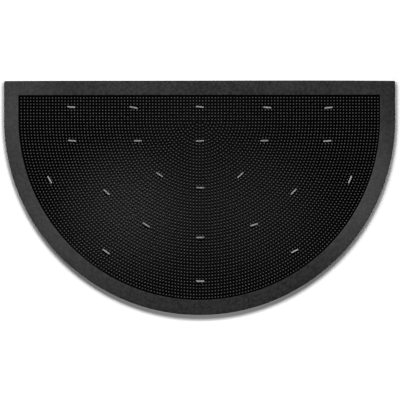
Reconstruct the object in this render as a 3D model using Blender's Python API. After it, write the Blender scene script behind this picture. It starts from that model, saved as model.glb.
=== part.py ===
"""Half-round rubber doormat, one moulding with short bristle brushes pressed into it.

Units are metres and +Z is up. The origin is at the middle of the underside. +X runs along the
straight edge, which lies against the door sill, and +Y points to that edge. Rings, rows and
bearings are measured from the ring centre, the middle of the half circle.
"""

import math
from collections import namedtuple

import bmesh
import bpy
from mathutils import Matrix, Vector

# Outline of the mat
MAT_WIDTH = 0.751
STRAIGHT_SIDE = 0.0750  # from the ring centre up to the sill edge
CORNER_RADIUS = 0.0025

# Section of the mat
RIM_TOP = 0.008
BASE_TOP = 0.003
RIM_WIDTH = 0.0283
SILL_RIM_WIDTH = 0.0280
FIELD_CORNER_RADIUS = 0.0012
OUTER_EDGE_RADIUS = 0.0008
LIP_RADIUS = 0.0007  # the rim's edge towards the pins

# The field of scraper pins: half rings round the ring centre and straight rows above it
RING_COUNT = 57
RIM_TO_PINS = 0.0047
STRAIGHT_ROWS = 7
ROW_PITCH = 0.005925

# The pins are too many for solids, so a rib stands for every second ring and row of them
RIB_EVERY = 2
RIB_WIDTH = 0.0026
RIB_TOP = 0.008
RIB_ROOT = 0.0004  # how far a rib reaches into the base
RIB_ARC_ERROR = 0.0003  # how far a rib's straight steps may leave its true arc

# The brushes: short strips of bristle, each pressed into a slot in the base
BRUSH_LENGTH = 0.0162
BRUSH_WIDTH = 0.0028
BRUSH_TOP = 0.0082
BRUSH_TRIM = 0.0005  # the bevel round the trimmed bristles
SLOT_DEPTH = 0.0015
SLOT_GAP = 0.0003
BRUSH_TO_RIB = 0.0014

OUTLINE_STEPS = 72
CORNER_STEPS = 3
BRUSH_END_STEPS = 5
EDGE_STEPS = 2
OVERSHOOT = 0.002  # how far a cutter passes the face it opens
WELD = 1e-6
SAME_HEIGHT = 1e-5
SHARP_ANGLE = math.radians(30)
SMOOTH_ANGLE = math.radians(40)

RUBBER_COLOUR = (0.030, 0.030, 0.031, 1.0)
RUBBER_ROUGHNESS = 0.72
BRISTLE_COLOUR = (0.30, 0.30, 0.30, 1.0)
BRISTLE_ROUGHNESS = 0.55

RING_RADIUS = MAT_WIDTH / 2
MAT_DEPTH = RING_RADIUS + STRAIGHT_SIDE
RING_CENTRE = Vector((0, RING_RADIUS - MAT_DEPTH / 2))
FIELD_RADIUS = RING_RADIUS - RIM_WIDTH
RING_PITCH = (FIELD_RADIUS - RIM_TO_PINS) / RING_COUNT

# A brush on one of the two straight lines: how far it stands from the ring centre towards the
# sill and across the mat, and its turn from the sill's direction, anticlockwise.
LineBrush = namedtuple("LineBrush", "along_mm across_mm turn_deg")
LINE_BRUSHES = (
    LineBrush(24.3, -246.5, -3.2),
    LineBrush(23.3, -126.6, -10.8),
    LineBrush(24.3, 0.4, -7.4),
    LineBrush(23.1, 129.9, -4.5),
    LineBrush(22.5, 247.7, 3.9),
    LineBrush(-40.6, -244.7, -6.0),
    LineBrush(-40.7, -118.7, -0.4),
    LineBrush(-41.1, 0.6, 2.1),
    LineBrush(-40.8, 124.3, -0.2),
    LineBrush(-41.5, 245.1, 4.6),
)

# A brush on one of the three half circles: its distance from the ring centre, its bearing from
# straight down the mat towards +X, and its turn from the sill's direction, anticlockwise.
RingBrush = namedtuple("RingBrush", "out_mm bearing_deg turn_deg")
RING_BRUSHES = (
    RingBrush(131.0, -36.1, -34.5),
    RingBrush(131.0, 0.4, -1.5),
    RingBrush(132.4, 36.2, 43.5),
    RingBrush(226.7, -52.1, -42.1),
    RingBrush(226.9, -27.0, -32.6),
    RingBrush(226.6, 0.2, 0.6),
    RingBrush(227.7, 27.3, 17.0),
    RingBrush(227.6, 52.4, 45.6),
    RingBrush(310.5, -68.2, -61.8),
    RingBrush(310.9, -35.4, -34.6),
    RingBrush(310.5, 0.1, -1.9),
    RingBrush(311.6, 35.8, 26.3),
    RingBrush(311.1, 68.2, 66.4),
)


def clear_scene():
    for obj in list(bpy.data.objects):
        bpy.data.objects.remove(obj, do_unlink=True)


def new_collection(name):
    collection = bpy.data.collections.new(name)
    bpy.context.scene.collection.children.link(collection)
    return collection


def material(name, colour, roughness):
    made = bpy.data.materials.new(name)
    made.use_nodes = True
    surface = made.node_tree.nodes["Principled BSDF"]
    surface.inputs["Base Color"].default_value = colour
    surface.inputs["Roughness"].default_value = roughness
    surface.inputs["Metallic"].default_value = 0.0
    return made


def arc(centre, radius, start_deg, end_deg, steps):
    """Points along an arc, both ends included, angles anticlockwise from +X."""
    angles = (math.radians(start_deg + (end_deg - start_deg) * i / steps) for i in range(steps + 1))
    return [centre + radius * Vector((math.cos(a), math.sin(a))) for a in angles]


def half_round_outline(half_width, sill_y, corner_radius, steps):
    """The mat's outline: a half circle below the ring centre and short straight sides above it."""
    corner_x = half_width - corner_radius
    corner_y = sill_y - corner_radius
    points = arc(RING_CENTRE, half_width, -180, 0, steps)
    points += arc(Vector((corner_x, corner_y)), corner_radius, 0, 90, CORNER_STEPS)
    points += arc(Vector((-corner_x, corner_y)), corner_radius, 90, 180, CORNER_STEPS)
    return points


def half_ring_outline(radius):
    """A rib along a half ring, from the diameter down and round to the diameter."""
    step = 2 * math.acos(1 - RIB_ARC_ERROR / radius)
    steps = max(4, math.ceil(math.pi / step))
    outer = arc(RING_CENTRE, radius + RIB_WIDTH / 2, -180, 0, steps)
    inner = arc(RING_CENTRE, radius - RIB_WIDTH / 2, 0, -180, steps)
    return outer + inner


def straight_rib_outline(row):
    """A rib along a straight row, as long as the row of pins."""
    reach = RING_COUNT * RING_PITCH + RIB_WIDTH / 2
    middle = RING_CENTRE.y + row * ROW_PITCH
    low, high = middle - RIB_WIDTH / 2, middle + RIB_WIDTH / 2
    return [Vector((-reach, low)), Vector((reach, low)), Vector((reach, high)), Vector((-reach, high))]


def strip_outline(length, width, place, turn_deg):
    """A round-ended strip at a place on the mat."""
    radius = width / 2
    reach = length / 2 - radius
    turn = Matrix.Rotation(math.radians(turn_deg), 2)
    points = arc(Vector((reach, 0)), radius, -90, 90, BRUSH_END_STEPS)
    points += arc(Vector((-reach, 0)), radius, 90, 270, BRUSH_END_STEPS)
    return [place + turn @ point for point in points]


def solid_from_outlines(name, outlines, bottom, top, collection):
    """One object that stands on closed flat outlines, from bottom to top."""
    curve = bpy.data.curves.new(name, "CURVE")
    curve.dimensions = "2D"
    curve.fill_mode = "BOTH"
    curve.extrude = (top - bottom) / 2
    for outline in outlines:
        spline = curve.splines.new("POLY")
        spline.points.add(len(outline) - 1)
        for point, place in zip(spline.points, outline):
            point.co = (place.x, place.y, 0, 1)
        spline.use_cyclic_u = True
    drawn = bpy.data.objects.new(name + "_outline", curve)
    drawn.location.z = (bottom + top) / 2
    collection.objects.link(drawn)
    bpy.context.view_layer.update()
    graph = bpy.context.evaluated_depsgraph_get()
    mesh = bpy.data.meshes.new_from_object(drawn.evaluated_get(graph))
    mesh.name = name
    shape = bmesh.new()
    shape.from_mesh(mesh)
    bmesh.ops.remove_doubles(shape, verts=shape.verts, dist=WELD)
    bmesh.ops.recalc_face_normals(shape, faces=shape.faces)
    shape.to_mesh(mesh)
    shape.free()
    solid = bpy.data.objects.new(name, mesh)
    solid.matrix_world = drawn.matrix_world
    collection.objects.link(solid)
    bpy.data.objects.remove(drawn)
    return solid


def combine(target, operation, tool):
    """Cuts the tool from the target, or joins it on, and removes the tool."""
    tool.hide_render = True
    tool.display_type = "WIRE"
    boolean = target.modifiers.new(operation.lower(), "BOOLEAN")
    boolean.operation = operation
    boolean.solver = "EXACT"
    boolean.object = tool
    graph = bpy.context.evaluated_depsgraph_get()
    target.data = bpy.data.meshes.new_from_object(target.evaluated_get(graph))
    target.modifiers.clear()
    bpy.data.objects.remove(tool)


def bevel_top_edges(solid, height, radius, steps):
    """Rounds the sharp edges at the top of a solid, given in the solid's own height."""
    shape = bmesh.new()
    shape.from_mesh(solid.data)
    edges = [
        edge
        for edge in shape.edges
        if all(abs(vert.co.z - height) < SAME_HEIGHT for vert in edge.verts)
        and edge.calc_face_angle(0) > SHARP_ANGLE
    ]
    bmesh.ops.bevel(
        shape, geom=edges, offset=radius, offset_type="OFFSET", segments=steps, profile=0.5, affect="EDGES"
    )
    shape.to_mesh(solid.data)
    shape.free()


def finish_node(solid, name, surface):
    """Names a finished solid and gives it its one material and smooth round faces."""
    solid.name = name
    solid.data.name = name
    solid.data.materials.clear()
    solid.data.materials.append(surface)
    solid.data.shade_smooth()
    solid.data.set_sharp_from_angle(angle=SMOOTH_ANGLE)


def brush_places():
    """Where each brush stands and how it is turned."""
    places = []
    for brush in LINE_BRUSHES:
        middle = RING_CENTRE + Vector((brush.across_mm, brush.along_mm)) / 1000
        places.append((middle, brush.turn_deg))
    for brush in RING_BRUSHES:
        bearing = math.radians(brush.bearing_deg)
        down = Vector((math.sin(bearing), -math.cos(bearing)))
        places.append((RING_CENTRE + brush.out_mm / 1000 * down, brush.turn_deg))
    return places


def brush_outlines(gap):
    """The outlines of all the brushes, grown by a gap."""
    return [
        strip_outline(BRUSH_LENGTH + 2 * gap, BRUSH_WIDTH + 2 * gap, place, turn)
        for place, turn in brush_places()
    ]


def make_blank(collection):
    """The mat's slab with its field sunk inside the rim."""
    sill_y = MAT_DEPTH / 2
    outer = half_round_outline(RING_RADIUS, sill_y, CORNER_RADIUS, OUTLINE_STEPS)
    field_y = sill_y - SILL_RIM_WIDTH
    inner = half_round_outline(FIELD_RADIUS, field_y, FIELD_CORNER_RADIUS, OUTLINE_STEPS)
    slab = solid_from_outlines("slab", [outer], 0, RIM_TOP, collection)
    slab.data.transform(slab.matrix_world)
    slab.matrix_world = Matrix.Identity(4)
    bevel_top_edges(slab, RIM_TOP, OUTER_EDGE_RADIUS, EDGE_STEPS)
    field = solid_from_outlines("field", [inner], BASE_TOP, RIM_TOP + OVERSHOOT, collection)
    combine(slab, "DIFFERENCE", field)
    bevel_top_edges(slab, RIM_TOP, LIP_RADIUS, EDGE_STEPS)
    return slab


def make_ribs(name, outlines, collection):
    """Ribs that reach a little into the base and stay clear of the brushes."""
    ribs = solid_from_outlines(name, outlines, BASE_TOP - RIB_ROOT, RIB_TOP, collection)
    room = solid_from_outlines(
        "brush_room", brush_outlines(BRUSH_TO_RIB), 0, RIB_TOP + OVERSHOOT, collection
    )
    combine(ribs, "DIFFERENCE", room)
    return ribs


def make_mat(collection, cutters, rubber):
    """The whole moulding: base, rim, ribs and the slots for the brushes."""
    mat = make_blank(cutters)
    rings = range(RIB_EVERY, RING_COUNT, RIB_EVERY)
    half_rings = [half_ring_outline(ring * RING_PITCH) for ring in rings]
    rows = [straight_rib_outline(row) for row in range(0, STRAIGHT_ROWS, RIB_EVERY)]
    combine(mat, "UNION", make_ribs("ring_ribs", half_rings, cutters))
    combine(mat, "UNION", make_ribs("row_ribs", rows, cutters))
    slots = solid_from_outlines(
        "slots", brush_outlines(SLOT_GAP), BASE_TOP - SLOT_DEPTH, BASE_TOP + OVERSHOOT, cutters
    )
    combine(mat, "DIFFERENCE", slots)
    cutters.objects.unlink(mat)
    collection.objects.link(mat)
    finish_node(mat, "mat", rubber)


def make_brush(number, place, turn, collection, bristle):
    """One strip of bristle, standing in its slot and trimmed a little above the pins."""
    foot = BASE_TOP - SLOT_DEPTH + SLOT_GAP
    outline = strip_outline(BRUSH_LENGTH, BRUSH_WIDTH, Vector((0, 0)), 0)
    brush = solid_from_outlines("brush", [outline], foot, BRUSH_TOP, collection)
    bevel_top_edges(brush, (BRUSH_TOP - foot) / 2, BRUSH_TRIM, 1)
    brush.location.x, brush.location.y = place
    brush.rotation_euler.z = math.radians(turn)
    finish_node(brush, f"brush_{number:02d}", bristle)


def main():
    clear_scene()
    doormat = new_collection("half_round_doormat")
    cutters = new_collection("cutters")
    cutters.hide_render = True
    rubber = material("black_rubber", RUBBER_COLOUR, RUBBER_ROUGHNESS)
    bristle = material("grey_bristle", BRISTLE_COLOUR, BRISTLE_ROUGHNESS)
    make_mat(doormat, cutters, rubber)
    for number, (place, turn) in enumerate(brush_places(), start=1):
        make_brush(number, place, turn, doormat, bristle)


main()
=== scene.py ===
"""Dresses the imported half-round rubber doormat: its moulding, scraper pins, brushes and stage."""

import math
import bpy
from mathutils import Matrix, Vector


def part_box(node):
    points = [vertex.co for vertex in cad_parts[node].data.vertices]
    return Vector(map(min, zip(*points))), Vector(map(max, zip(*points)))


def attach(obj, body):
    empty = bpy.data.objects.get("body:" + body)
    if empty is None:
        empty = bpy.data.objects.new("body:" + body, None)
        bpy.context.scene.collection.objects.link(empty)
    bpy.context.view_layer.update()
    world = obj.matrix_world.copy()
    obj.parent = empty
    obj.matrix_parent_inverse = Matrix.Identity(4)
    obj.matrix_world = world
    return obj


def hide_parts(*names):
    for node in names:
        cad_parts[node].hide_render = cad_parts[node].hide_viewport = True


bl_info = {
    "name": "Half-Round Rubber Doormat",
    "version": (1, 0, 0),
    "blender": (4, 5, 0),
    "location": "View3D > Sidebar > Doormat",
    "description": "Moulds a half-round rubber doormat with scraper pins and bristle brushes",
    "category": "Add Mesh",
}

from collections import namedtuple

import bpy
import numpy as np
from bpy.props import FloatProperty, FloatVectorProperty, IntProperty, PointerProperty
from mathutils import Vector

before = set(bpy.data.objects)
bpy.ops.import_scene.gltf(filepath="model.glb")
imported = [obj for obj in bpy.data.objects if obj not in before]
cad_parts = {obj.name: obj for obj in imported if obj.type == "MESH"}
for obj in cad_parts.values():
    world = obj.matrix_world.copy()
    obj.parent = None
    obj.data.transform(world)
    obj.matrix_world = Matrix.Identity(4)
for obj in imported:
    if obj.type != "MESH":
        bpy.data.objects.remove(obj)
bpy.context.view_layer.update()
MAT_LOW, MAT_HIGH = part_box("mat")
BRUSH_NODES = sorted(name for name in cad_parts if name.startswith("brush"))
BRUSH_LOW, BRUSH_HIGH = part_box(BRUSH_NODES[0])

MM = 0.001


# Settings


def linear_from_hex(code):
    """The linear colour of an sRGB hex code."""
    shares = [int(code[i : i + 2], 16) / 255 for i in (1, 3, 5)]
    linear = [s / 12.92 if s <= 0.04045 else ((s + 0.055) / 1.055) ** 2.4 for s in shares]
    return (*linear, 1.0)


def length(name, description, default):
    """A setting that is a length in metres."""
    return FloatProperty(
        name=name, description=description, default=default, unit="LENGTH", precision=5
    )


def colour(name, description, code):
    """A setting that is a colour, given by its sRGB hex code."""
    return FloatVectorProperty(
        name=name, description=description, default=linear_from_hex(code), size=4, subtype="COLOR"
    )


class MatSizes(bpy.types.PropertyGroup):
    """The sizes of the moulding's base and rim."""

    straight_side: length("Straight side", "From the ring centre up to the sill edge", 0.0750)
    rim_width: length("Rim width", "Width of the rim round the curve", 0.0282)
    sill_rim_width: length("Sill rim width", "Width of the rim along the sill edge", 0.0282)
    corner_radius: length("Corner radius", "Radius of the two outer corners", 0.0025)
    field_corner_radius: length("Field corner radius", "Radius of the field's two corners", 0.0012)
    base_top: length("Base thickness", "Thickness of the sheet under the pins", 0.003)
    edge_radius: length("Edge radius", "Rounding of the outer top edge", 0.0009)
    lip_radius: length("Lip radius", "Rounding of the rim's edge towards the pins", 0.0011)
    lip_fall: length("Lip fall", "How far the rim dips towards the pins", 0.0003)
    waviness: length("Waviness", "How far the cut edge wanders from its true line", 0.00012)
    left_fall: length("Left fall", "How far the sill edge falls back at its left end", 0.0007)
    right_fall: length("Right fall", "How far the sill edge falls back at its right end", 0.0012)
    field_shift: length("Field shift", "How far the field's straight sides lie off the middle", -0.0009)
    field_rise: length("Field rise", "How much wider the rim is at the bottom of the curve", 0.0005)


class PinSizes(bpy.types.PropertyGroup):
    """The sizes and the layout of the scraper pins."""

    rings: IntProperty(name="Rings", description="Half rings round the ring centre", default=57)
    rows: IntProperty(name="Rows", description="Straight rows above the diameter", default=7)
    row_pitch: length("Row pitch", "Distance between straight rows", 0.005925)
    rim_gap: length("Rim gap", "From the rim's wall to the last pins' middles", 0.0047)
    foot_radius: length("Foot radius", "Radius where a pin leaves the base", 0.00185)
    shaft_radius: length("Shaft radius", "Radius of a pin above its foot", 0.00146)
    tip_radius: length("Tip radius", "Radius of a pin under its rounded tip", 0.00136)
    lean: FloatProperty(
        name="Lean", description="Usual lean of a pin", default=math.radians(1.6), subtype="ANGLE"
    )
    seed: IntProperty(name="Seed", description="Seed of the pins' small differences", default=7)


class BrushSizes(bpy.types.PropertyGroup):
    """The sizes of the bristles in each brush. Real bristles are about 0.2 mm thick, and are drawn
    thicker so that they show."""

    bristle_width: length("Bristle width", "Thickness of one bristle", 0.00032)
    bristle_pitch: length("Bristle pitch", "Distance between neighbouring bristles", 0.00041)
    splay: length("Splay", "How far the outermost bristles spread at their tips", 0.00015)
    trodden: FloatProperty(
        name="Trodden", description="Share of the foremost bristles that are bent forwards", default=0.1
    )
    unevenness: length("Unevenness", "How unevenly the bristles are trimmed", 0.00005)
    seed: IntProperty(name="Seed", description="Seed of the bristles' small differences", default=11)


class Finishes(bpy.types.PropertyGroup):
    """The colours of the rubber, the bristle and the floor."""

    rubber: colour("Rubber", "Black rubber of the rim", "#0e0e0e")
    bloom_and_painted_light: colour("Bloom", "Grey bloom and dust that lie on the rubber", "#464646")
    # Near black for painted shade in the pins' gaps, on the rim's inner wall and at the bristles' feet.
    painted_shade_black: colour("Deep rubber", "Fresh black rubber between the pins", "#020202")
    # The pins' tips are grey, partly from wear and partly as painted light.
    tip: colour("Pin tip", "Dulled rubber of the pins' tips", "#454545")
    bristle: colour("Bristle", "Sides of clean bristles", "#8b8b8b")
    bristle_tip: colour("Bristle tip", "Cut ends of clean bristles", "#c0c0c0")
    floor: colour("Floor", "Pale studio floor", "#e6e6e6")
    # A whiter floor and the colour of its glow, both painted light.
    painted_light_floor: colour("Bleached floor", "Studio floor away from the mat", "#ffffff")


class StageSettings(bpy.types.PropertyGroup):
    """The camera and the studio lights."""

    lens: FloatProperty(name="Lens", description="Focal length in millimetres", default=200.0)
    frame_width: length("Frame width", "Width of the view at the rim's top", 0.7682)
    aim_x: length("Aim across", "Where the camera looks, along +X", 0.0005)
    aim_y: length("Aim along", "Where the camera looks, along +Y", -0.0044)
    roll: FloatProperty(
        name="Roll", description="Turn of the picture", default=math.radians(-0.07), subtype="ANGLE"
    )
    brightness: FloatProperty(name="Brightness", description="Scales all the softboxes", default=1.15)
    dome: FloatProperty(name="Dome", description="Strength of the light from all round", default=0.01)


class DoormatSettings(bpy.types.PropertyGroup):
    """All the doormat's settings."""

    mat: PointerProperty(type=MatSizes)
    pins: PointerProperty(type=PinSizes)
    brushes: PointerProperty(type=BrushSizes)
    finishes: PointerProperty(type=Finishes)
    stage: PointerProperty(type=StageSettings)


# Materials


def add_node(tree, kind, inputs=None, output=None, **settings):
    """Adds a node with its settings, and fills its inputs with values or other nodes' outputs. It
    gives back the output that is asked for, or else the node. Sockets go by their identifiers."""
    made = tree.nodes.new(kind)
    for name, value in settings.items():
        setattr(made, name, value)
    sockets = {socket.identifier: socket for socket in made.inputs}
    for name, value in (inputs or {}).items():
        if isinstance(value, bpy.types.NodeSocket):
            tree.links.new(value, sockets[name])
        else:
            sockets[name].default_value = value
    if output is None:
        return made
    return next(socket for socket in made.outputs if socket.identifier == output)


def new_material(name):
    """An empty material, its node tree, and the place of each of its points in the frame."""
    made = bpy.data.materials.new(name)
    made.use_nodes = True
    tree = made.node_tree
    tree.nodes.clear()
    return made, tree, add_node(tree, "ShaderNodeTexCoord", output="Object")


def finish_material(tree, inputs):
    """Gives a material its surface."""
    surface = add_node(tree, "ShaderNodeBsdfPrincipled", inputs, "BSDF")
    add_node(tree, "ShaderNodeOutputMaterial", {"Surface": surface})


def by_axis(tree, place, axis, start, end):
    """A share that goes from 0 to 1 between two places along one axis."""
    along = add_node(tree, "ShaderNodeSeparateXYZ", {"Vector": place}, axis)
    ends = {"Value": along, "From Min": start, "From Max": end}
    return add_node(tree, "ShaderNodeMapRange", ends, "Result")


def by_distance(tree, place, middle, start, end, reached, easing="LINEAR"):
    """A value that goes from 0 to the one reached between two distances from a middle."""
    points = {"Vector": place, "Vector_001": middle}
    away = add_node(tree, "ShaderNodeVectorMath", points, "Value", operation="DISTANCE")
    ends = {"Value": away, "From Min": start, "From Max": end, "To Max": reached}
    return add_node(tree, "ShaderNodeMapRange", ends, "Result", interpolation_type=easing)


def soft_patches(tree, place, patches):
    """The sum of soft round patches, each given by its middle, its reach and its strength."""
    total = 0.0
    for x, y, reach, strength in patches:
        patch = by_distance(tree, place, (x, y, MAT_HIGH.z), reach, 0.0, strength, "SMOOTHSTEP")
        total = add_node(tree, "ShaderNodeMath", {"Value": total, "Value_001": patch}, "Value")
    return total


NOISE_ROUGHNESS = 0.55


def blotches(tree, place, size, least, most, detail=3.0, roughness=NOISE_ROUGHNESS, spread=0.2):
    """A value that wanders over blotches about size across. It is least and most where the noise
    is a spread below and above its middle."""
    look = {"Vector": place, "Scale": 1 / size, "Detail": detail, "Roughness": roughness}
    noise = add_node(tree, "ShaderNodeTexNoise", look, "Fac")
    ends = {"From Min": 0.5 - spread, "From Max": 0.5 + spread, "To Min": least, "To Max": most}
    return add_node(tree, "ShaderNodeMapRange", {"Value": noise, **ends}, "Result")


def grain(tree, place, size, depth, strength, detail=2.0, below=None):
    """The bump of a grain about size across and depth high, over the bump below it."""
    look = {"Vector": place, "Scale": 1 / size, "Detail": detail, "Roughness": NOISE_ROUGHNESS}
    inputs = {
        "Height": add_node(tree, "ShaderNodeTexNoise", look, "Fac"),
        "Distance": depth,
        "Strength": strength,
    }
    if below is not None:
        inputs["Normal"] = below
    return add_node(tree, "ShaderNodeBump", inputs, "Normal")


def coats(tree, base, *layers):
    """A base colour under layers of others, each given by its share and its colour."""
    for share, layer in layers:
        inputs = {"Factor_Float": share, "A_Color": base, "B_Color": layer}
        base = add_node(tree, "ShaderNodeMix", inputs, "Result_Color", data_type="RGBA")
    return base


# Where the rim is greyer, partly from bloom and partly as painted light and shade, and where grit
# and a painted sheen lie between the pins: x, y, reach, strength.
BLOOM_AND_PAINTED_LIGHT_PATCHES = (
    (-0.37, 0.18, 0.14, 0.29),
    (-0.30, -0.03, 0.31, 0.27),
    (0.33, 0.0, 0.22, 0.41),
    (0.31, 0.21, 0.09, 0.09),
    (0.02, 0.21, 0.18, -0.08),
)
# The strong patch to the lower left is a painted sheen between the pins, not grit.
GRIT_AND_PAINTED_SHEEN_PATCHES = (
    (0.0, 0.0, 0.24, 0.06),
    (-0.15, -0.035, 0.17, 0.205),
    (0.13, -0.035, 0.17, 0.085),
)
# Where the pins' tips are darker, as painted shade that evens out the near softbox's pool of light, the
# same way.
PAINTED_SHADE_PATCHES = ((0.02, 0.07, 0.32, 0.33),)


def moulded_rubber(finishes):
    """Black rubber pressed in a steel mould: a dull skin with a fine grain, mottled by a grey bloom
    that comes out of the rubber and by dust that settles on it, and greyer or darker in broad patches
    that are partly bloom and partly painted light and shade."""
    made, tree, place = new_material("moulded_black_rubber")
    clouds = {"size": 16 * MM, "detail": 4.0, "roughness": 0.6}
    specks = {"size": 5 * MM, "roughness": 0.7, "spread": 0.15}
    share = blotches(tree, place, least=0.0, most=0.06, **clouds)
    dust = blotches(tree, place, least=0.0, most=0.25, **specks)
    # The broad patches add grey that is partly bloom and partly painted light and shade.
    for more in (dust, soft_patches(tree, place, BLOOM_AND_PAINTED_LIGHT_PATCHES)):
        share = add_node(tree, "ShaderNodeMath", {"Value": share, "Value_001": more}, "Value")
    # A mould's grit is about 0.1 mm, and is drawn at 0.5 mm and 1.8 mm so that it shows.
    fine = grain(tree, place, size=0.5 * MM, depth=0.05 * MM, strength=0.6)
    pebbled = grain(tree, place, size=1.8 * MM, depth=0.16 * MM, strength=0.7, detail=3.0, below=fine)
    finish_material(
        tree,
        {
            "Base Color": coats(tree, finishes.rubber, (share, finishes.bloom_and_painted_light)),
            "Roughness": blotches(tree, place, least=0.62, most=0.74, **clouds),
            "Normal": pebbled,
            "IOR": 1.52,
            "Specular IOR Level": 0.1,
        },
    )
    return made


# How far below their tops the pins begin to be grey, partly worn and partly painted light, and are
# wholly so.
WORN_AND_LIT_START = 0.9 * MM
WORN_AND_LIT_FULL = 0.2 * MM


def pin_rubber(finishes, tip_top):
    """The same rubber on the pins and the sheet under them: grey at the tips, partly worn and partly
    painted light, and near black down in the gaps, partly fresh rubber and partly painted shade, with
    a little grit and a painted sheen."""
    made, tree, place = new_material("scraper_pin_rubber")
    # Grit in the gaps, and a painted sheen to the lower left.
    patches = soft_patches(tree, place, GRIT_AND_PAINTED_SHEEN_PATCHES)
    clumps = blotches(tree, place, size=3.5 * MM, least=0.5, most=1.5)
    factors = {"Value": patches, "Value_001": clumps}
    grit_and_painted_sheen = add_node(tree, "ShaderNodeMath", factors, "Value", operation="MULTIPLY")
    # Painted shade darkens the pins' tips under the near softbox.
    difference = {"Value": 1.0, "Value_001": soft_patches(tree, place, PAINTED_SHADE_PATCHES)}
    unshaded_share = add_node(tree, "ShaderNodeMath", difference, "Value", operation="SUBTRACT")
    tone = add_node(tree, "ShaderNodeAttribute", output="Fac", attribute_name="tone")
    dull_and_lit = by_axis(tree, place, "Z", tip_top - WORN_AND_LIT_START, tip_top - WORN_AND_LIT_FULL)
    for share in (tone, unshaded_share):
        factors = {"Value": dull_and_lit, "Value_001": share}
        dull_and_lit = add_node(tree, "ShaderNodeMath", factors, "Value", operation="MULTIPLY")
    layers = ((grit_and_painted_sheen, finishes.bloom_and_painted_light), (dull_and_lit, finishes.tip))
    finish_material(
        tree,
        {
            "Base Color": coats(tree, finishes.painted_shade_black, *layers),
            "Roughness": 0.75,
            # The same grit, drawn a little finer on the small pins.
            "Normal": grain(tree, place, size=0.4 * MM, depth=0.04 * MM, strength=0.6),
            "IOR": 1.52,
            "Specular IOR Level": 0.02,
        },
    )
    return made


# How far below a brush's top its bristles begin to be paler, partly as painted light, and are wholly
# so, and how far below it their sides come clear of the painted shade further down.
PALE_START = 1.6 * MM
PALE_FULL = 0.3 * MM
CLEAR_DEPTH = 1.5 * MM


def nylon_bristle(finishes, foot, top):
    """Extruded grey nylon filament, cut flush: satin sides that are near black at their feet as painted
    shade, and paler chalky cut ends that are partly painted light, all darkened by each bristle's tone."""
    made, tree, place = new_material("grey_nylon_bristle")
    side = by_axis(tree, place, "Z", foot, top - CLEAR_DEPTH)
    end = by_axis(tree, place, "Z", top - PALE_START, top - PALE_FULL)
    # Near black at the feet as painted shade, and paler at the top, partly as painted light.
    clean = coats(tree, finishes.painted_shade_black, (side, finishes.bristle), (end, finishes.bristle_tip))
    tone = add_node(tree, "ShaderNodeAttribute", output="Fac", attribute_name="tone")
    skin = coats(tree, finishes.painted_shade_black, (tone, clean))
    finish_material(tree, {"Base Color": skin, "Roughness": 0.45, "IOR": 1.53})
    return made


# The floor is painted whiter, as painted light, between two distances from a point under the mat,
# and between two places along +Y by the sill edge. It glows more and more from one distance to
# another, which is painted light too.
FLOOR_MIDDLE = (0, 0.15, 0)
PAINTED_LIGHT_START = 0.385
PAINTED_LIGHT_FULL = 0.46
SILL_PAINTED_LIGHT_START = 0.22
SILL_PAINTED_LIGHT_FULL = 0.28
GLOW_START = 0.40
GLOW_FULL = 1.4
GLOW = 0.9


def studio_floor(finishes):
    """Matt white studio board, painted whiter away from the mat and behind the sill edge and glowing
    faintly further out, both painted light, so that it stays pale where the softboxes don't reach."""
    made, tree, place = new_material("white_board")
    around = by_distance(tree, place, FLOOR_MIDDLE, PAINTED_LIGHT_START, PAINTED_LIGHT_FULL, 1.0)
    behind = by_axis(tree, place, "Y", SILL_PAINTED_LIGHT_START, SILL_PAINTED_LIGHT_FULL)
    painted_light_share = add_node(tree, "ShaderNodeMath", {"Value": around, "Value_001": behind}, "Value")
    glow = by_distance(tree, place, FLOOR_MIDDLE, GLOW_START, GLOW_FULL, GLOW)
    finish_material(
        tree,
        {
            "Base Color": coats(tree, finishes.floor, (painted_light_share, finishes.painted_light_floor)),
            "Roughness": 0.9,
            "Specular IOR Level": 0.1,
            "Emission Color": finishes.painted_light_floor,
            "Emission Strength": glow,
        },
    )
    # The board's own light is left out of the lamps that are sampled, which keeps the noise low.
    made.cycles.emission_sampling = "NONE"
    return made


# Shapes shared by the pieces


def ring_centre(mat):
    """The middle of the mat's half circle."""
    return Vector((0, MAT_HIGH.y - mat.straight_side))


def arc(centre, radius, start, end, steps):
    """Points along an arc, without its end, angles in degrees anticlockwise from +X."""
    angles = np.radians(start + (end - start) * np.arange(steps) / steps)
    return np.stack([centre[0] + radius * np.cos(angles), centre[1] + radius * np.sin(angles)], axis=1)


def line(start, end, steps):
    """Points along a straight line, without its end."""
    share = (np.arange(steps) / steps)[:, None]
    return np.array(start) * (1 - share) + np.array(end) * share


CURVE_STEPS = 288
SIDE_STEPS = 12
CORNER_STEPS = 6
SILL_STEPS = 96
# The higher this power, the nearer to its ends the sill edge begins to fall back.
FALL_POWER = 4


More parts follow.
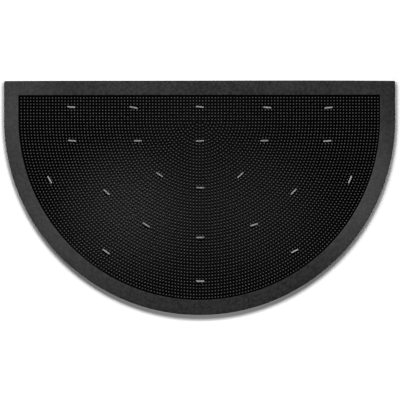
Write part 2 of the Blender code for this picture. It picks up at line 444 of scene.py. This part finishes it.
def outline(mat, inset):
    """The mat's outline pulled in by a share of the rim's width, 0 at its edge and 1 at the lip."""
    centre = ring_centre(mat)
    half_width = MAT_HIGH.x - inset * mat.rim_width
    sill = MAT_HIGH.y - inset * mat.sill_rim_width
    radius = mat.corner_radius + min(inset, 1.0) * (mat.field_corner_radius - mat.corner_radius)
    corner_x, corner_y = half_width - radius, sill - radius
    shape = np.concatenate(
        [
            arc(centre, half_width, -180, 0, CURVE_STEPS),
            line((half_width, centre.y), (half_width, corner_y), SIDE_STEPS),
            arc((corner_x, corner_y), radius, 0, 90, CORNER_STEPS),
            line((corner_x, sill), (-corner_x, sill), SILL_STEPS),
            arc((-corner_x, corner_y), radius, 90, 180, CORNER_STEPS),
            line((-half_width, corner_y), (-half_width, centre.y), SIDE_STEPS),
        ]
    )
    # The field is a little askew in the rim: its straight sides lie to one side, its curve doesn't.
    high = np.clip((shape[:, 1] - MAT_LOW.y) / (centre.y - MAT_LOW.y), 0, 1)
    askew = np.column_stack([mat.field_shift * high, mat.field_rise * (1 - high)])
    # The sill edge isn't cut quite straight: it falls back towards its two ends.
    across = shape[:, 0] / half_width
    fall = np.where(across > 0, mat.right_fall, mat.left_fall) * across**FALL_POWER
    fall *= np.clip((shape[:, 1] - centre.y) / (sill - centre.y), 0, 1)
    cut = np.column_stack([np.zeros(len(shape)), -fall])
    return shape + min(inset, 1.0) * askew + max(0.0, 1 - inset) * cut


# How many waves of each kind run round an outline that wanders.
WAVES = (2, 3, 5, 8, 13, 21, 34)


def wander(points, size, seed):
    """A smooth random value for each point of a closed outline, at most size either way."""
    rng = np.random.default_rng(seed)
    turn = 2 * math.pi * np.arange(len(points)) / len(points)
    value = np.zeros(len(points))
    for waves in WAVES:
        value += rng.normal() * np.cos(waves * turn + rng.uniform(0, 2 * math.pi)) / waves**0.5
    return size * value / np.abs(value).max()


def skin_faces(start, count, rings):
    """The faces of a closed skin over rings of count points each, with a cap at each end."""
    faces = []
    last = start + (rings - 1) * count
    for low in range(start, last, count):
        high = low + count
        for i in range(count):
            j = (i + 1) % count
            faces.append((low + i, low + j, high + j, high + i))
    faces.append(tuple(range(start + count - 1, start - 1, -1)))
    faces.append(tuple(range(last, last + count)))
    return faces


def new_piece(name, points, faces, material):
    """A smooth mesh piece that rides on the part's one body."""
    mesh = bpy.data.meshes.new(name)
    mesh.from_pydata(points, [], faces)
    mesh.validate()
    mesh.materials.append(material)
    mesh.shade_smooth()
    piece = bpy.data.objects.new(name, mesh)
    bpy.context.scene.collection.objects.link(piece)
    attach(piece, "root")
    return piece


def store_tones(piece, tones):
    """Gives each point of a piece the shade that the piece's material reads."""
    layer = piece.data.attributes.new("tone", "FLOAT", "POINT")
    layer.data.foreach_set("value", tones)


# The moulding


# How far the rim's foot is eased and its inner wall slopes.
EASE = 0.0003
# The height of the crown on the rim's top, and the share of the rim's width where the crown ends
# and the fall to the lip starts.
CROWN = 0.00022
CROWN_END = 0.62
# How far the lip turns down, in degrees.
LIP_TURN = 78
# The radius of the fillet at the inner wall's foot, and the share of it that lies between the
# fillet's middle and each of its two sides.
FILLET = 0.0006
FILLET_MIDDLE = 0.3
EDGE_STEPS = 4
TOP_STEPS = 9
LIP_STEPS = 5
WALL_ROWS = 3


def rim_section(mat):
    """The rim's section as (inset, height) in metres, from the foot of its outer wall to the
    sheet under the pins. Its last points, one for each wall row, run down the inner wall."""
    top = MAT_HIGH.z
    edge, lip = mat.edge_radius, mat.lip_radius
    section = [(EASE, 0.0), (0.0, EASE), (0.0, 0.5 * top), (0.0, top - edge)]
    for step in range(1, EDGE_STEPS + 1):
        angle = math.radians(90 * step / EDGE_STEPS)
        section.append((edge * (1 - math.cos(angle)), top - edge * (1 - math.sin(angle))))
    lip_start = mat.rim_width - lip
    fall_start = CROWN_END * mat.rim_width
    for step in range(1, TOP_STEPS + 1):
        inset = edge + (lip_start - edge) * step / TOP_STEPS
        rise = CROWN * math.sin(math.pi * min(1.0, inset / fall_start))
        fall = mat.lip_fall * max(0.0, (inset - fall_start) / (lip_start - fall_start)) ** 2
        section.append((inset, top + rise - fall))
    lip_top = top - mat.lip_fall
    for step in range(1, LIP_STEPS + 1):
        angle = math.radians(LIP_TURN * step / LIP_STEPS)
        section.append((lip_start + lip * math.sin(angle), lip_top - lip * (1 - math.cos(angle))))
    wall_foot = section[-1][0] + EASE
    middle = FILLET_MIDDLE * FILLET
    section.append((wall_foot, mat.base_top + FILLET))
    section.append((wall_foot + middle, mat.base_top + middle))
    section.append((wall_foot + FILLET, mat.base_top))
    return section


# The rim's edge wanders up and down by this share of what it does sideways.
UPWARD_SHARE = 0.6
SIDEWAYS_SEED = 3
UPWARD_SEED = 4


def mould_mat(settings):
    """The base sheet and the rim in one closed skin."""
    mat = settings.mat
    section = rim_section(mat)
    edge_line = outline(mat, 0.0)
    count = len(edge_line)
    sideways = wander(edge_line, mat.waviness, SIDEWAYS_SEED)
    upward = wander(edge_line, UPWARD_SHARE * mat.waviness, UPWARD_SEED)
    away = edge_line - np.array(ring_centre(mat))
    away /= np.linalg.norm(away, axis=1)[:, None]
    rows = []
    for inset, height in section:
        share = inset / mat.rim_width
        fade = max(0.0, 1 - share)
        ring = outline(mat, share) + away * (sideways * fade)[:, None]
        lift = upward * (height / MAT_HIGH.z) * (height > mat.base_top)
        rows.append(np.column_stack([ring, height + lift]))
    faces = skin_faces(0, count, len(rows))
    skin = moulded_rubber(settings.finishes)
    piece = new_piece("mat_moulding", np.concatenate(rows).tolist(), faces, skin)
    # The wall towards the pins and the sheet under them get the near black of the gaps, which is
    # painted shade.
    piece.data.materials.append(pin_rubber(settings.finishes, MAT_HIGH.z))
    painted_shade_slot = len(piece.data.materials) - 1
    wall_end = (len(section) - 1) * count
    for face in range(wall_end - WALL_ROWS * count, wall_end):
        piece.data.polygons[face].material_index = painted_shade_slot
    piece.data.polygons[len(faces) - 1].material_index = painted_shade_slot
    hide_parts("mat")


# The places of the scraper pins


# The pins come in pieces by zone: the straight rows, and three zones of rings. The inner and the
# middle rings end at these shares of the way out.
STRAIGHT, INNER, MIDDLE, OUTER = range(4)
PIN_PIECES = ("pins_straight_rows", "pins_inner_rings", "pins_middle_rings", "pins_outer_rings")
INNER_END = 0.58
MIDDLE_END = 0.82

# A quarter of a ring has about this many steps of pins for each ring up to it, less a small lack.
QUARTER_RING_STEPS = 1.6
QUARTER_RING_LACK = 0.1

# The steel mould's two plates of pin holes meet along one bearing, in degrees from straight down
# the mat. The rings slip inwards on its right and outwards on its left, and less so the more
# degrees they are away from it. On the left the slip starts at one radius and grows up to another.
SEAM_BEARING = -35.0
SEAM_SLIP = 0.0010
RIGHT_FADE = 14
LEFT_FADE = 9
LEFT_START = 0.17
LEFT_GROWTH = 0.06


def pins_on_half_ring(ring):
    """How many steps of pins a half ring has: an even number, so that a pin stands on the axis."""
    return 2 * math.floor(QUARTER_RING_STEPS * ring - QUARTER_RING_LACK)


def seam_slip(radius, bearing):
    """How far a ring slips outwards at a bearing, on one side of the seam or the other."""
    past = math.degrees(bearing) - SEAM_BEARING
    if past > 0:
        return -SEAM_SLIP * math.exp(-past / RIGHT_FADE)
    growth = min(1.0, max(0.0, (radius - LEFT_START) / LEFT_GROWTH))
    return SEAM_SLIP * growth * math.exp(past / LEFT_FADE)


def ring_zone(ring, rings):
    """The zone that a ring belongs to."""
    if ring <= INNER_END * rings:
        return INNER
    if ring <= MIDDLE_END * rings:
        return MIDDLE
    return OUTER


def pin_places(settings):
    """The middle of every pin and the zone that it belongs to, before the brushes take theirs."""
    mat, pins = settings.mat, settings.pins
    centre = ring_centre(mat)
    pitch = (MAT_HIGH.x - mat.rim_width - pins.rim_gap) / pins.rings
    places, zones = [(0.0, centre.y)], [INNER]
    for row in range(1, pins.rows + 1):
        for column in range(-pins.rings, pins.rings + 1):
            places.append((column * pitch, centre.y + row * pins.row_pitch))
            zones.append(STRAIGHT)
    for ring in range(1, pins.rings + 1):
        steps = pins_on_half_ring(ring)
        for bearing in np.linspace(-math.pi / 2, math.pi / 2, steps + 1):
            out = ring * pitch + seam_slip(ring * pitch, bearing)
            places.append((out * math.sin(bearing), centre.y - out * math.cos(bearing)))
            zones.append(ring_zone(ring, pins.rings))
    return np.array(places), np.array(zones)


def brush_corners(node):
    """The vertices of a brush's solid, seen from above."""
    return np.array([tuple(v.co)[:2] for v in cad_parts[node].data.vertices])


def brush_axis(node):
    """A brush's middle, and the unit vector along it, from its solid."""
    corners = brush_corners(node)
    middle = (corners.min(axis=0) + corners.max(axis=0)) / 2
    spread = corners - corners.mean(axis=0)
    values, vectors = np.linalg.eigh(spread.T @ spread)
    return middle, vectors[:, values.argmax()]


def left_of(along):
    """The unit vector square to another, a quarter turn anticlockwise."""
    return np.array([-along[1], along[0]])


def brush_size():
    """A brush's length and width, from the first brush's solid."""
    corners = brush_corners(BRUSH_NODES[0])
    middle, along = brush_axis(BRUSH_NODES[0])
    return np.ptp(corners @ along), np.ptp(corners @ left_of(along))


def clear_of_brushes(places):
    """For each pin, how far off the nearest brush's axis is, and the way from there to the pin."""
    full, width = brush_size()
    reach = (full - width) / 2
    best = np.full(len(places), np.inf)
    way = np.zeros_like(places)
    for node in BRUSH_NODES:
        middle, along = brush_axis(node)
        offset = places - middle
        share = np.clip(offset @ along, -reach, reach)
        gap = offset - share[:, None] * along
        far = np.linalg.norm(gap, axis=1)
        nearer = far < best
        best[nearer] = far[nearer]
        way[nearer] = gap[nearer]
    return best, way / best[:, None]


# The shapes of the scraper pins


PIN_SIDES = 10
# How deep a pin's foot is in the sheet, and the heights over it where its flare is half gone and
# wholly gone.
PIN_ROOT = 0.0002
HALF_FLARE = 0.0004
FLARE_TOP = 0.0011
# How far below its top a pin begins to round off and ends, and the share of its radius at its end.
ROUND_START = 0.0006
ROUND_END = 0.00012
ROUND_SHARE = 0.72
# A leaning pin goes over by this power of its height, so that it bends more towards its top.
PIN_BEND = 1.4

# How unevenly the pins stand, 1 being the lean that is set: at least, how much more so where shoes
# cross the mat, and how much more so along the mat by the seam.
LEAST_UNRULINESS = 0.7
TRODDEN_UNRULINESS = 1.0
SEAM_UNRULINESS = 3.0
# The middle of where shoes cross the mat and its reach, and where the seam's pins are weak: within
# some degrees of it, and round a radius up to a reach.
TRODDEN_MIDDLE = (0.0, 0.02)
TRODDEN_REACH = 0.17
WEAK_BEARING = 13
WEAK_RADIUS = 0.195
WEAK_REACH = 0.085

# A brush takes the place of each pin nearer to its axis than the clearance. It pushes the others
# over within a reach, by a lean that grows over a fade inwards from there.
BRUSH_CLEARANCE = 0.0027
PUSH_REACH = 0.0045
PUSH_FADE = 0.0016
PUSH_LEAN = math.radians(4.0)
# The share of pins that shoes have knocked over further, and how many times further.
KNOCKED_SHARE = 0.03
KNOCKED_LEAN = 2.6
# How much the pins' places, heights and widths differ, and how grey their tips are.
PLACE_SPREAD = 0.00008
HEIGHT_SPREAD = 0.012
WIDTH_SPREAD = 0.03
USUAL_TONE = 0.86
TONE_SPREAD = 0.09
DARKEST_TONE = 0.35
PALEST_TONE = 1.25
# How much paler painted light makes the pins in front of a brush, against the brush's shade, and its
# reach and fade from the axis.
FRONT_PAINTED_LIGHT = 0.45
FRONT_PAINTED_LIGHT_REACH = 0.0078
FRONT_PAINTED_LIGHT_FADE = 0.0015

# A pin's tip leans over in x and y by a share of its height.
Pin = namedtuple("Pin", "zone place lean thickness stretch spin tone")


def unruliness(places, centre):
    """How unevenly the pins stand, sideways and along the mat. The pins by the seam are weaker,
    and shoes that cross the mat have bent them forwards and backwards."""
    offset = places - np.array(centre)
    past = np.degrees(np.arctan2(offset[:, 0], -offset[:, 1])) - SEAM_BEARING
    further = np.hypot(*offset.T) - WEAK_RADIUS
    seam = np.exp(-((past / WEAK_BEARING) ** 2)) * np.exp(-((further / WEAK_REACH) ** 2))
    trodden = np.exp(-((np.hypot(*(places - TRODDEN_MIDDLE).T) / TRODDEN_REACH) ** 2))
    sideways = LEAST_UNRULINESS + TRODDEN_UNRULINESS * trodden
    return np.column_stack([sideways, sideways + SEAM_UNRULINESS * seam])


def vary_pins(settings):
    """Every pin that the brushes leave room for, with its own small differences."""
    rng = np.random.default_rng(settings.pins.seed)
    places, zones = pin_places(settings)
    far, way = clear_of_brushes(places)
    kept = far > BRUSH_CLEARANCE
    places, zones, far, way = places[kept], zones[kept], far[kept], way[kept]
    count = len(places)
    lean = rng.normal(0, math.tan(settings.pins.lean), places.shape)
    lean *= unruliness(places, ring_centre(settings.mat))
    lean[rng.random(count) < KNOCKED_SHARE] *= KNOCKED_LEAN
    pushed = np.clip((PUSH_REACH - far) / PUSH_FADE, 0, 1) * math.tan(PUSH_LEAN)
    lean += way * pushed[:, None]
    places = places + rng.normal(0, PLACE_SPREAD, places.shape)
    stretch = rng.normal(1, HEIGHT_SPREAD, count)
    thickness = rng.normal(1, WIDTH_SPREAD, count)
    spin = rng.uniform(0, 2 * math.pi, count)
    tone = np.clip(rng.normal(USUAL_TONE, TONE_SPREAD, count), DARKEST_TONE, PALEST_TONE)
    # Painted light lies on the pins in front of the brushes, where the brushes shade them.
    near = np.clip((FRONT_PAINTED_LIGHT_REACH - far) / FRONT_PAINTED_LIGHT_FADE, 0, 1)
    tone *= 1 + FRONT_PAINTED_LIGHT * near * np.clip(-way[:, 1], 0, 1) ** 2
    return [Pin(*row) for row in zip(zones, places, lean, thickness, stretch, spin, tone)]


def pin_profile(settings):
    """A pin's outline as (radius, height) above the base sheet, from a foot just under it."""
    pins = settings.pins
    tall = MAT_HIGH.z - settings.mat.base_top
    return (
        (pins.foot_radius, -PIN_ROOT),
        (0.5 * (pins.foot_radius + pins.shaft_radius), HALF_FLARE),
        (pins.shaft_radius, FLARE_TOP),
        (pins.tip_radius, tall - ROUND_START),
        (ROUND_SHARE * pins.tip_radius, tall - ROUND_END),
    )


def pin_points(pin, profile, base_top):
    """The rings of points round one pin, from its foot to its tip."""
    tall = MAT_HIGH.z - base_top
    points = []
    for radius, height in profile:
        up = height * pin.stretch
        x, y = pin.place + pin.lean * (max(0.0, up / tall) ** PIN_BEND * tall)
        ring = radius * pin.thickness
        for side in range(PIN_SIDES):
            angle = pin.spin + 2 * math.pi * side / PIN_SIDES
            points.append((x + ring * math.cos(angle), y + ring * math.sin(angle), base_top + up))
    return points


def stand_pins(settings):
    """Every pin as a turned shape, in one piece for each zone."""
    pins = vary_pins(settings)
    profile = pin_profile(settings)
    skin = pin_rubber(settings.finishes, MAT_HIGH.z)
    for zone, name in enumerate(PIN_PIECES):
        points, faces, tones = [], [], []
        for pin in pins:
            if pin.zone == zone:
                faces += skin_faces(len(points), PIN_SIDES, len(profile))
                points += pin_points(pin, profile, settings.mat.base_top)
                tones += [pin.tone] * (PIN_SIDES * len(profile))
        piece = new_piece(name, points, faces, skin)
        store_tones(piece, tones)


# The brushes


# The rows of a triangular grid lie this share of its pitch apart.
GRID_ROW = 0.866
# The outermost bristles stand this share of the pitch inside the strip's edge, and each bristle
# stands off its place by about this share of it.
GRID_MARGIN = 0.75
GRID_SPREAD = 0.07

# The shares of its height where a bristle has its points, and the power by which it bends.
BRISTLE_LEVELS = (0.0, 0.55, 1.0)
BRISTLE_BEND = 1.5
BRISTLE_SIDES = 4
# A square bristle's corners are this many times as far out as a round one's skin, which gives both
# the same section area.
SQUARE_CORNER = 1.25

# How much the bristles differ in their spread and their shade, and how much darker they are at the
# brush's two ends.
SPLAY_SPREAD = 0.00003
SHADE_SPREAD = 0.05
END_DARKENING = 0.13
# The least that a bristle is bent, as a share of the most, how far the most bent ones reach
# forwards and sink, and the share of its shade that a bent one keeps.
LEAST_BENT = 0.2
BENT_REACH = 0.0026
BENT_FALL = 0.0009
BENT_SHADE = 0.72

# The brushes in the middle by the sill are the darkest, as painted shade that evens out the near
# softbox's pool of light.
PAINTED_SHADE_MIDDLE = np.array([-0.013, 0.134])
PAINTED_SHADE_REACH = 0.368
PAINTED_SHADE_TONE = 0.43


def bristle_grid(full, width, pitch):
    """Places for bristles in a round-ended strip, in its own frame, on a triangular grid."""
    reach = (full - width) / 2
    radius = width / 2 - GRID_MARGIN * pitch
    places = []
    rows = math.ceil(width / (pitch * GRID_ROW))
    columns = math.ceil(full / pitch)
    for row in range(-rows, rows + 1):
        for column in range(-columns, columns + 1):
            x = (column + 0.5 * (row % 2)) * pitch
            y = row * pitch * GRID_ROW
            if math.hypot(max(abs(x) - reach, 0.0), y) <= radius:
                places.append((x, y))
    return np.array(places)


def set_brush(settings, node, number, skin):
    """One brush as separate square bristles that spread a little towards their trimmed ends."""
    brushes = settings.brushes
    rng = np.random.default_rng((brushes.seed, number))
    full, width = brush_size()
    grid = bristle_grid(full, width, brushes.bristle_pitch)
    grid = grid + rng.normal(0, GRID_SPREAD * brushes.bristle_pitch, grid.shape)
    middle, along = brush_axis(node)
    across = left_of(along)
    foot, top = BRUSH_LOW.z, BRUSH_HIGH.z
    corner = brushes.bristle_width / 2 * SQUARE_CORNER
    # Painted shade: a brush is darker the nearer it is to the middle by the sill.
    away = np.linalg.norm(middle - PAINTED_SHADE_MIDDLE)
    paleness = PAINTED_SHADE_TONE * math.exp((away / PAINTED_SHADE_REACH) ** 2)
    # The way towards the curve, in the brush's own frame.
    forwards = np.array([0.0, -1.0 if across[1] > 0 else 1.0])
    points, faces, tones = [], [], []
    for x, y in grid:
        splay = brushes.splay * np.array([x / (full / 2), y / (width / 2)])
        splay = splay + rng.normal(0, SPLAY_SPREAD, 2)
        trim = top + rng.normal(0, brushes.unevenness)
        turn = rng.uniform(0, math.pi / 2)
        tone = paleness * float(rng.normal(1, SHADE_SPREAD)) * (1 - END_DARKENING * (2 * x / full) ** 2)
        # Shoes have bent some of the bristles on the side towards the curve.
        if rng.random() < brushes.trodden * max(0.0, y * forwards[1] / (width / 2)):
            bent = rng.uniform(LEAST_BENT, 1.0)
            splay = splay + forwards * bent * BENT_REACH
            trim -= bent * BENT_FALL
            tone *= BENT_SHADE
        faces += skin_faces(len(points), BRISTLE_SIDES, len(BRISTLE_LEVELS))
        for share in BRISTLE_LEVELS:
            spot = np.array([x, y]) + splay * share**BRISTLE_BEND
            for side in range(BRISTLE_SIDES):
                angle = turn + side * math.pi / 2
                local = spot + corner * np.array([math.cos(angle), math.sin(angle)])
                place = middle + local[0] * along + local[1] * across
                points.append((place[0], place[1], foot + (trim - foot) * share))
                tones.append(tone)
    piece = new_piece(node.replace("brush", "bristles"), points, faces, skin)
    piece.data.shade_flat()
    store_tones(piece, tones)
    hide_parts(node)


# The stage


Softbox = namedtuple("Softbox", "name place aim width depth spread watts")

# A near softbox over the sill edge and two far ones behind it cast the short shadow round the
# curve, and a low one in front lightens it. Each hangs at its place and faces its aim on the
# floor, in metres. The near ones face across the mat, which lights it evenly, and grids narrow
# their spread a little, in degrees.
SOFTBOXES = (
    Softbox("overhead_softbox", (-0.022, 0.366, 0.507), (0.0, -1.59, 0.0), 0.19, 0.24, 170, 4.7),
    Softbox("back_left_softbox", (-0.71, 2.15, 1.42), (0.0, -0.1, 0.0), 1.75, 0.37, 180, 50.8),
    Softbox("back_right_softbox", (0.71, 2.15, 1.42), (0.0, -0.1, 0.0), 1.75, 0.37, 180, 34.9),
    Softbox("front_softbox", (0.0, -0.975, 0.365), (0.0, 0.23, 0.0), 0.5, 0.4, 171, 3.5),
)

# The floor reaches so far that no view shows its end.
FLOOR_REACH = 60.0
# A narrow pixel filter keeps pins of little more than a pixel apart.
PIXEL_FILTER = 1.4


def hang_softbox(box, brightness):
    """One softbox as an area light that the camera doesn't see."""
    data = bpy.data.lights.new(box.name, "AREA")
    data.shape = "RECTANGLE"
    data.size, data.size_y = box.width, box.depth
    data.spread = math.radians(box.spread)
    data.energy = brightness * box.watts
    light = bpy.data.objects.new(box.name, data)
    light.location = box.place
    light.rotation_euler = (Vector(box.aim) - Vector(box.place)).to_track_quat("-Z", "Y").to_euler()
    light.visible_camera = False
    bpy.context.scene.collection.objects.link(light)


def lay_floor(settings):
    """The white floor."""
    reach = FLOOR_REACH
    mesh = bpy.data.meshes.new("studio_floor")
    corners = [(-reach, -reach, 0), (reach, -reach, 0), (reach, reach, 0), (-reach, reach, 0)]
    mesh.from_pydata(corners, [], [(0, 1, 2, 3)])
    mesh.materials.append(studio_floor(settings.finishes))
    floor = bpy.data.objects.new("studio_floor", mesh)
    bpy.context.scene.collection.objects.link(floor)


def light_dome(strength):
    """A dim white light from all round."""
    world = bpy.data.worlds.new("dome")
    world.use_nodes = True
    background = world.node_tree.nodes["Background"]
    background.inputs["Color"].default_value = (1, 1, 1, 1)
    background.inputs["Strength"].default_value = strength
    bpy.context.scene.world = world


def set_camera(stage):
    """The overhead camera."""
    scene = bpy.context.scene
    camera_data = bpy.data.cameras.new("overhead_camera")
    camera_data.lens = stage.lens
    camera = bpy.data.objects.new("overhead_camera", camera_data)
    half_angle = math.atan(camera_data.sensor_width / 2 / stage.lens)
    height = MAT_HIGH.z + stage.frame_width / 2 / math.tan(half_angle)
    camera.location = (stage.aim_x, stage.aim_y, height)
    camera.rotation_euler = (0, 0, stage.roll)
    scene.collection.objects.link(camera)
    scene.camera = camera
    scene.view_settings.view_transform = "Standard"
    scene.view_settings.look = "None"
    scene.cycles.filter_width = PIXEL_FILTER


def lay_stage(settings):
    """The white floor, the softboxes, the dim dome and the overhead camera."""
    lay_floor(settings)
    for box in SOFTBOXES:
        hang_softbox(box, settings.stage.brightness)
    light_dome(settings.stage.dome)
    set_camera(settings.stage)


# Operators and panel


class DOORMAT_OT_mould_mat(bpy.types.Operator):
    """Mould the base sheet and the rim"""

    bl_idname = "doormat.mould_mat"
    bl_label = "Mould the Mat"

    def execute(self, context):
        mould_mat(context.scene.doormat)
        return {"FINISHED"}


class DOORMAT_OT_stand_pins(bpy.types.Operator):
    """Stand the scraper pins on the base sheet"""

    bl_idname = "doormat.stand_pins"
    bl_label = "Stand the Pins"

    def execute(self, context):
        stand_pins(context.scene.doormat)
        return {"FINISHED"}


class DOORMAT_OT_set_brushes(bpy.types.Operator):
    """Set the bristle brushes among the pins"""

    bl_idname = "doormat.set_brushes"
    bl_label = "Set the Brushes"

    def execute(self, context):
        settings = context.scene.doormat
        skin = nylon_bristle(settings.finishes, settings.mat.base_top, BRUSH_HIGH.z)
        for number, node in enumerate(BRUSH_NODES):
            set_brush(settings, node, number, skin)
        return {"FINISHED"}


class DOORMAT_OT_lay_stage(bpy.types.Operator):
    """Lay the floor and set up the lights and the camera"""

    bl_idname = "doormat.lay_stage"
    bl_label = "Lay the Stage"

    def execute(self, context):
        lay_stage(context.scene.doormat)
        return {"FINISHED"}


OPERATORS = (
    DOORMAT_OT_mould_mat,
    DOORMAT_OT_stand_pins,
    DOORMAT_OT_set_brushes,
    DOORMAT_OT_lay_stage,
)


class DOORMAT_PT_panel(bpy.types.Panel):
    """The doormat's settings and steps"""

    bl_idname = "DOORMAT_PT_panel"
    bl_label = "Doormat"
    bl_space_type = "VIEW_3D"
    bl_region_type = "UI"
    bl_category = "Doormat"

    def draw(self, context):
        settings = context.scene.doormat
        for name in ("mat", "pins", "brushes", "finishes", "stage"):
            box = self.layout.box()
            box.label(text=name.capitalize())
            group = getattr(settings, name)
            for key in group.__annotations__:
                box.prop(group, key)
        for operator in OPERATORS:
            self.layout.operator(operator.bl_idname)


CLASSES = (
    MatSizes,
    PinSizes,
    BrushSizes,
    Finishes,
    StageSettings,
    DoormatSettings,
    *OPERATORS,
    DOORMAT_PT_panel,
)


def register():
    """Adds the classes, and the settings to the scene."""
    for cls in CLASSES:
        bpy.utils.register_class(cls)
    bpy.types.Scene.doormat = PointerProperty(type=DoormatSettings)


def unregister():
    """Takes the settings and the classes away again."""
    del bpy.types.Scene.doormat
    for cls in reversed(CLASSES):
        bpy.utils.unregister_class(cls)


# The run


def main():
    """Builds the mat and its stage."""
    register()
    bpy.ops.doormat.mould_mat()
    bpy.ops.doormat.stand_pins()
    bpy.ops.doormat.set_brushes()
    bpy.ops.doormat.lay_stage()


if __name__ == "__main__":
    main()
